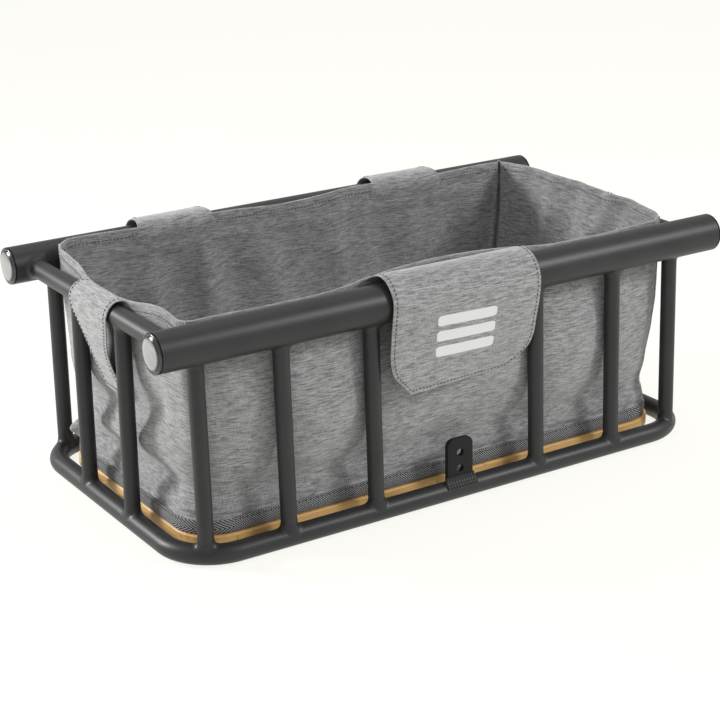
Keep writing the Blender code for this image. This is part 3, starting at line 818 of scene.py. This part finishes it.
seam_row = int(np.argmin(np.abs(rows_at - HEM_SEAM)))
flat_normals = np.stack((nx, ny, np.zeros(nx.shape)), -1)
bm = bmesh.new()
stitches(bm, looped(outer[seam_row]), looped(flat_normals[seam_row]))
stitches(bm, looped(inner[seam_row]), looped(-flat_normals[seam_row]))
hem_stitch = solid("liner_hem_stitches", bm, thread, "liner")

# ---------------------------------------------------------------------------------------
# Foot band: herringbone webbing sewn round the bottom of the liner to cover its base seam.
webbing, place, feed = finish("herringbone_webbing", Roughness=0.9)
cloth = place.node("UVMap", {"uv_map": "cloth"})
slant = (cloth.axis(0) + abs(cloth.axis(1) - 0.0040) * 1.10) / 0.0023
rib = ((slant * (2 * math.pi)).sine() * 1.4).over(-1, 1)
fuzz = cloth.stretched(900, 1500, 1).noise(2.0)
tone = (rib * 0.82 + fuzz * 0.30).over(0.12, 0.95)
feed(Base_Color=tone.tint((0.014, 0.014, 0.015), (0.33, 0.33, 0.334)),
     Normal=(rib * 0.8 + fuzz * 0.3).bump(0.0004, 0.9))
BAND_LOW, BAND_TOP = 15.2, 26.2
band_rows = np.linspace(0, 1, 9)
foot_z = np.repeat((BAND_LOW + band_rows * (BAND_TOP - BAND_LOW))[:, None], len(columns), 1)
bx, by, bnx, bny = plan(foot_z)
foot_stand = swell(bx, by, bnx, bny, foot_z)
wobble = np.array([0.35 * noise.noise(Vector((u * 30, 0, 1.5))) for u in around[:-1]])[None, :]
band_grids = []
for offset in (0.25, 1.25):
    out = foot_stand + offset + wobble * band_rows[:, None] + 0.25 * np.sin(math.pi * band_rows)[:, None]
    rise = foot_z + 0.4 * wobble * band_rows[:, None]
    band_grids.append(np.stack((bx + bnx * out, by + bny * out, rise), -1) / 1000)
band_heights = band_rows * (BAND_TOP - BAND_LOW) / 1000
bm = bmesh.new()
face = wall_skin(bm, band_grids[1], band_heights)
back = wall_skin(bm, band_grids[0], band_heights, (2.0, 0))
join_rows(bm, face[0], back[0])
join_rows(bm, face[-1], back[-1])
band = solid("foot_band", bm, webbing, "liner", smooth=50)
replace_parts(band, "liner_foot_band")
bm = bmesh.new()
band_normals = np.stack((bnx[7], bny[7], np.zeros(len(columns))), -1)
stitches(bm, looped(band_grids[1][7]), looped(band_normals))
band_stitch = solid("foot_band_stitches", bm, thread, "liner")

# ---------------------------------------------------------------------------------------
# Flaps and straps: double cloth, edge-stitched, sewn to the hem at one end, passed over a
# rail or cross tube and held to the wall by hook-and-loop tape.
flap_cloth = heather("flap_cloth", (0.100, 0.100, 0.101), (0.385, 0.385, 0.387))
hook_tape, place, feed = finish("hook_tape", Roughness=0.95)
tuft = place.stretched(1500, 1500, 1500).noise(3.0)
feed(Base_Color=tuft.tint((0.02, 0.02, 0.021), (0.09, 0.09, 0.092)), Normal=tuft.bump(0.0006))
loop_tape, place, feed = finish("loop_tape", Roughness=1.0)
tuft = place.stretched(700, 700, 700).noise(4.0, 0.7)
feed(Base_Color=tuft.tint((0.06, 0.06, 0.062), (0.17, 0.17, 0.173)), Normal=tuft.bump(0.0009))
FLAP_THICK, EDGE_STITCH = 1.7, 3.2
# The tapes sit this far above the CAD patches, in from the rounded ends of the cloth.
TAPE_UP = {"fro": 0.013, "rea": 0.004, "end": 0.017}


def resample(knots, count):
    """Evenly spaced points, in millimetres, on a smooth curve through (outward, up) knots."""
    knots = np.array(knots, float)
    steps = np.concatenate(([0], np.cumsum(np.linalg.norm(np.diff(knots, axis=0), axis=1))))
    fine = np.linspace(0, steps[-1], 400)
    u, v = (spline(fine, np.stack((steps, knots[:, k]), -1), level=False) for k in (0, 1))
    true = np.concatenate(([0], np.cumsum(np.hypot(np.diff(u), np.diff(v)))))
    want = np.linspace(0, true[-1], count)
    return np.stack((np.interp(want, true, u), np.interp(want, true, v)), -1), true[-1]


def rim(rows):
    """The points round the edge of a grid of rows."""
    return rows[0] + [r[-1] for r in rows[1:-1]] + rows[-1][::-1] + [r[0] for r in rows[-2:0:-1]]


def slab(name, spots, low, high, material, body):
    """A thin even layer over a grid of (point, direction), from low to high above it."""
    bm = bmesh.new()
    a, b = (rim(skin(bm, [[Vector(p) + Vector(n) * lift for p, n in row] for row in spots], ring=False))
            for lift in (high, low))
    for i in range(len(a)):
        bm.faces.new((a[i], a[(i + 1) % len(a)], b[(i + 1) % len(a)], b[i]))
    return solid(name, bm, material, body)


def flap(name, body, low_side, high_side, half_width, place, node, hinge, seed, wave=0.6, buried=0.0):
    """A flap between two side profiles, (outward, up) knots at its two edges.

    half_width is knots of (share of the run, millimetres); place turns outward, up and
    across into a point.  hinge is not used."""
    count, across = 64, 33
    (a, length_a), (b, length_b) = resample(low_side, count), resample(high_side, count)
    length = (length_a + length_b) / 2
    run = np.linspace(0, 1, count)
    width = spline(run, half_width, level=False)
    side = np.linspace(-1, 1, across)
    mix = (side + 1) / 2
    grid = a[:, None, :] * (1 - mix)[None, :, None] + b[:, None, :] * mix[None, :, None]
    w = width[:, None] * side[None, :]
    tangent = np.gradient(grid, axis=0)
    tangent /= np.linalg.norm(tangent, axis=-1, keepdims=True)
    normal = np.stack((-tangent[..., 1], tangent[..., 0]), -1)
    ripple = wave * rumple(w, np.repeat(run[:, None] * length, across, 1), 34, seed)
    ripple = ripple * np.sin(math.pi * np.clip(run, 0, 0.9))[:, None]
    if buried:
        ripple = ripple - buried * np.abs(side)[None, :] ** 8 * np.clip(1 - run / 0.17, 0, 1)[:, None]
    edge_soft = 1 - 0.55 * np.clip((np.abs(side) - 0.93) / 0.07, 0, 1) ** 2
    stitch_at = np.clip(1 - EDGE_STITCH / np.maximum(width, 1), 0, 1)
    pinch = 0.28 * bell((np.abs(side)[None, :] - stitch_at[:, None]) * width[:, None], 0.9)
    end_pinch = 0.28 * bell((1 - run) * length - EDGE_STITCH, 0.9)[:, None]
    half = FLAP_THICK / 2 * edge_soft[None, :] * np.where(run[:, None] > 0.985, 0.6, 1.0)
    half = half - np.maximum(pinch, end_pinch)
    bm = bmesh.new()
    faces, rims = {}, []
    for key, sign, shift in (("outer", 1, 5.0), ("inner", -1, 5.5)):
        p = np.concatenate((grid + normal * (ripple + sign * half)[..., None], w[..., None]), -1) / 1000
        faces[key] = np.array([[place(*point) for point in row] for row in p])
        verts = [[bm.verts.new(point) for point in row] for row in faces[key]]
        made, corners = [], []
        for r in range(count - 1):
            for c in range(across - 1):
                spots = ((r, c), (r, c + 1), (r + 1, c + 1), (r + 1, c))
                made.append(bm.faces.new([verts[i][j] for i, j in spots]))
                corners.append([(shift + seed + w[i, j] / 1000, run[i] * length / 1000) for i, j in spots])
        map_cloth(bm, made, corners)
        rims.append(rim(verts))
    join_rows(bm, *rims)
    made = solid(name, bm, flap_cloth, smooth=60)

    bm = bmesh.new()
    surface = faces["outer"]
    ups = np.cross(np.gradient(surface, axis=1), np.gradient(surface, axis=0))
    ups /= np.linalg.norm(ups, axis=-1, keepdims=True)
    if np.sum((surface - faces["inner"]) * ups) < 0:
        ups = -ups

    def on(r, s, key="outer"):
        """Point and direction out of the cloth at row r, in rows, and side s, from -1 to 1."""
        c = (s + 1) / 2 * (across - 1)
        r0, c0 = int(min(r, count - 1.001)), int(min(c, across - 1.001))
        fr, fc = r - r0, c - c0

        def between(g):
            low_row = g[r0, c0] * (1 - fc) + g[r0, c0 + 1] * fc
            return low_row * (1 - fr) + (g[r0 + 1, c0] * (1 - fc) + g[r0 + 1, c0 + 1] * fc) * fr

        return between(faces[key]), between(ups) * (1 if key == "outer" else -1)

    last = (1 - EDGE_STITCH / length) * (count - 1)
    first = 14 if buried else 2
    end_at = stitch_at[int(last)]
    line = [(r, -stitch_at[int(r)]) for r in np.linspace(first, last, 60)]
    line += [(last, s) for s in np.linspace(-end_at, end_at, 40)[1:-1]]
    line += [(r, stitch_at[int(r)]) for r in np.linspace(last, first, 60)]
    spots = [on(r, s) for r, s in line]
    stitches(bm, [p for p, _ in spots], [n for _, n in spots])
    sewn = solid(f"{name}_stitches", bm, thread)

    tape = node.split("_", 1)[1] if node.startswith("flap") else "end_" + node.rsplit("_", 1)[1]
    low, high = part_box(f"hook_patch_{tape}")
    axis = 0 if node.startswith("flap") else 1
    reach = (high[axis] - low[axis]) / 2
    drop = np.array([on(r, 0)[0][2] for r in range(count // 2, count)])[::-1]
    at = [np.interp(z + TAPE_UP[tape[:3]], drop, np.arange(count // 2, count)[::-1])
          for z in (low[2], high[2])]
    side_reach = 1000 * reach / float(np.interp(np.mean(at), np.arange(count), width))
    spots = [[on(r, s, "inner") for s in np.linspace(-side_reach, side_reach, 13)]
             for r in np.linspace(at[0], at[1], 9)]
    hooks = slab(f"hook_tape_{tape}", spots, -0.0001, 0.0007, hook_tape, body)
    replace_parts(hooks, f"hook_patch_{tape}")

    for piece in (made, sewn):
        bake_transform(piece)
    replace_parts(made, node)
    float(np.mean(2 * width) * length) / 1e6
    return on


FRONT_WIDTH = ((0, 74), (0.10, 72), (0.30, 71), (0.62, 71), (0.78, 70), (0.86, 66.5), (0.94, 57), (1.0, 50))
on_front = flap(
    "front_flap", "flap_front",
    ((117.0, 196.6), (123, 200.5), (133, 203.6), (141, 202.0), (148.5, 196.0), (152.6, 188.5),
     (152.9, 180), (151.2, 168), (148.4, 148), (146.6, 126), (144.5, 104)),
    ((117.0, 196.6), (123, 199.8), (133, 201.2), (141, 199.4), (148.8, 193.6), (153.4, 184),
     (153.9, 176), (152.6, 165), (148.8, 146), (143.6, 124), (134.0, 103.5)),
    FRONT_WIDTH, lambda u, v, w: (w, -u, v), "flap_front", ((0, -0.1170, 0.1972), (0, -0.1215, 0.1972)), 1.0)

# The flap's print: a plain block of three reflective bars, heat-pressed onto the cloth.
reflective, place, feed = finish("reflective_print", Specular_IOR_Level=0.4)
grain = place.stretched(1800, 1800, 1800).noise(2.0)
feed(Base_Color=grain.tint((0.62, 0.62, 0.625), (0.70, 0.70, 0.705)),
     Roughness=0.42 + grain * 0.15, Normal=grain.bump(0.00008))
BAR_FIRST, BAR_PITCH, BAR_TALL, BAR_HALF = 33.705, 6.615, 4.41, 0.40
for bar in range(3):
    spots = []
    for t in np.linspace(-0.5, 0.5, 9):
        reach = BAR_HALF - 0.035 * (1 - math.sqrt(max(0, 1 - (2 * abs(t)) ** 6)))
        row = BAR_FIRST + bar * BAR_PITCH + t * BAR_TALL
        spots.append([on_front(row, s) for s in np.linspace(-reach, reach, 21)])
    slab(f"flap_print_{bar + 1}", spots, -0.00012, 0.00022, reflective, "flap_front")

REAR_PROFILE = ((117.4, 182.0), (115.6, 187), (114.2, 192), (114.2, 197), (116.6, 201.2), (123, 203.4),
                (132, 203.2), (141, 200.2), (148.3, 194), (152.7, 185), (152.6, 174), (150.4, 158),
                (144.5, 144), (136.5, 134), (131.3, 124), (129.6, 111))
REAR_WIDTH = ((0, 41), (0.10, 38), (0.20, 34.5), (0.32, 33), (0.80, 32.5), (0.92, 29.5), (1.0, 22))
for hand, sx in (("left", -1), ("right", 1)):
    flap(f"rear_flap_{hand}", f"flap_rear_{hand}", REAR_PROFILE, REAR_PROFILE, REAR_WIDTH,
         lambda u, v, w, sx=sx: (sx * 0.1198 - w, u, v), f"flap_rear_{hand}",
         ((sx * 0.1212, 0.1187, 0.1972), (sx * 0.1212, 0.1227, 0.1972)), 3.0 + sx, wave=0.4, buried=2.2)

LEFT_STRAP = ((240.2, 188.2), (244.5, 190.4), (250.5, 190.2), (256.0, 186.2), (258.9, 179.5), (258.3, 171),
              (256.2, 161), (253.6, 148), (251.0, 138), (247.4, 127), (243.0, 116), (241.2, 106))
RIGHT_STRAP = ((235.2, 196.5), (240, 198.4), (246.5, 196.6), (253.5, 190.5), (258.4, 181.5), (258.3, 171),
               (256.0, 160), (253.0, 148), (250.0, 138), (246.6, 127), (243.0, 116), (241.2, 106))
STRAP_WIDTH = ((0, 33.5), (0.13, 34.5), (0.28, 33.5), (0.41, 28.5), (0.55, 21.5), (0.66, 18),
               (0.86, 16.8), (0.94, 15.2), (1.0, 10.5))
for hand, sx, knots in (("left", -1, LEFT_STRAP), ("right", 1, RIGHT_STRAP)):
    out, up = knots[0][0] / 1000, knots[0][1] / 1000
    flap(f"strap_{hand}", f"end_strap_{hand}", knots, knots, STRAP_WIDTH,
         lambda u, v, w, sx=sx: (sx * u, sx * w, v), f"end_strap_{hand}", ((sx * out, 0, up), (sx * (out + 0.0045), 0, up - 0.0017)), 7.0 + sx, wave=0.35)

# Loop tape sewn to the outside of the walls, opposite the hooks.
kinds = np.array([kind for kind, _ in columns])


def on_wall(side, along, z):
    """Point on the outside of a wall, at a distance along it and a height, and its direction."""
    cols = np.flatnonzero(kinds == side)
    axis = 0 if side in ("front", "rear") else 1
    row = np.interp((z * 1000 - BASE_Z) / (hem_z[cols].mean() - BASE_Z), rows_at, np.arange(len(rows_at)))
    points = outer[int(row), cols] * (1 - row % 1) + outer[int(row) + 1, cols] * (row % 1)
    points = points[np.argsort(points[:, axis])]
    out = {"front": (0, -1, 0), "rear": (0, 1, 0), "left": (-1, 0, 0), "right": (1, 0, 0)}[side]
    return [np.interp(along, points[:, axis], points[:, k]) for k in range(3)], out


for tape, side in (("front", "front"), ("rear_left", "rear"), ("rear_right", "rear"),
                   ("end_left", "left"), ("end_right", "right")):
    low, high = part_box(f"loop_patch_{tape}")
    axis = 0 if side in ("front", "rear") else 1
    spots = [[on_wall(side, a, z) for a in np.linspace(low[axis], high[axis], 25)]
             for z in np.linspace(low[2], high[2], 9) + TAPE_UP[tape[:3]]]
    piece = slab(f"loop_tape_{tape}", spots, -0.0003, 0.0008, loop_tape, "liner")
    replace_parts(piece, f"loop_patch_{tape}")

# ---------------------------------------------------------------------------------------
# Table: plain, matt and pale, and faintly lit from within so that it stays even.
table, place, feed = finish("table", Roughness=0.9, Specular_IOR_Level=0.0,
                            Emission_Color=(0.99, 0.982, 0.938, 1), Emission_Strength=0.87)
feed(Base_Color=place.stretched(3, 3, 3).noise().tint((0.150, 0.148, 0.141), (0.154, 0.152, 0.145)))
bm = bmesh.new()
bmesh.ops.create_grid(bm, x_segments=1, y_segments=1, size=12)
floor = solid("table", bm, table)
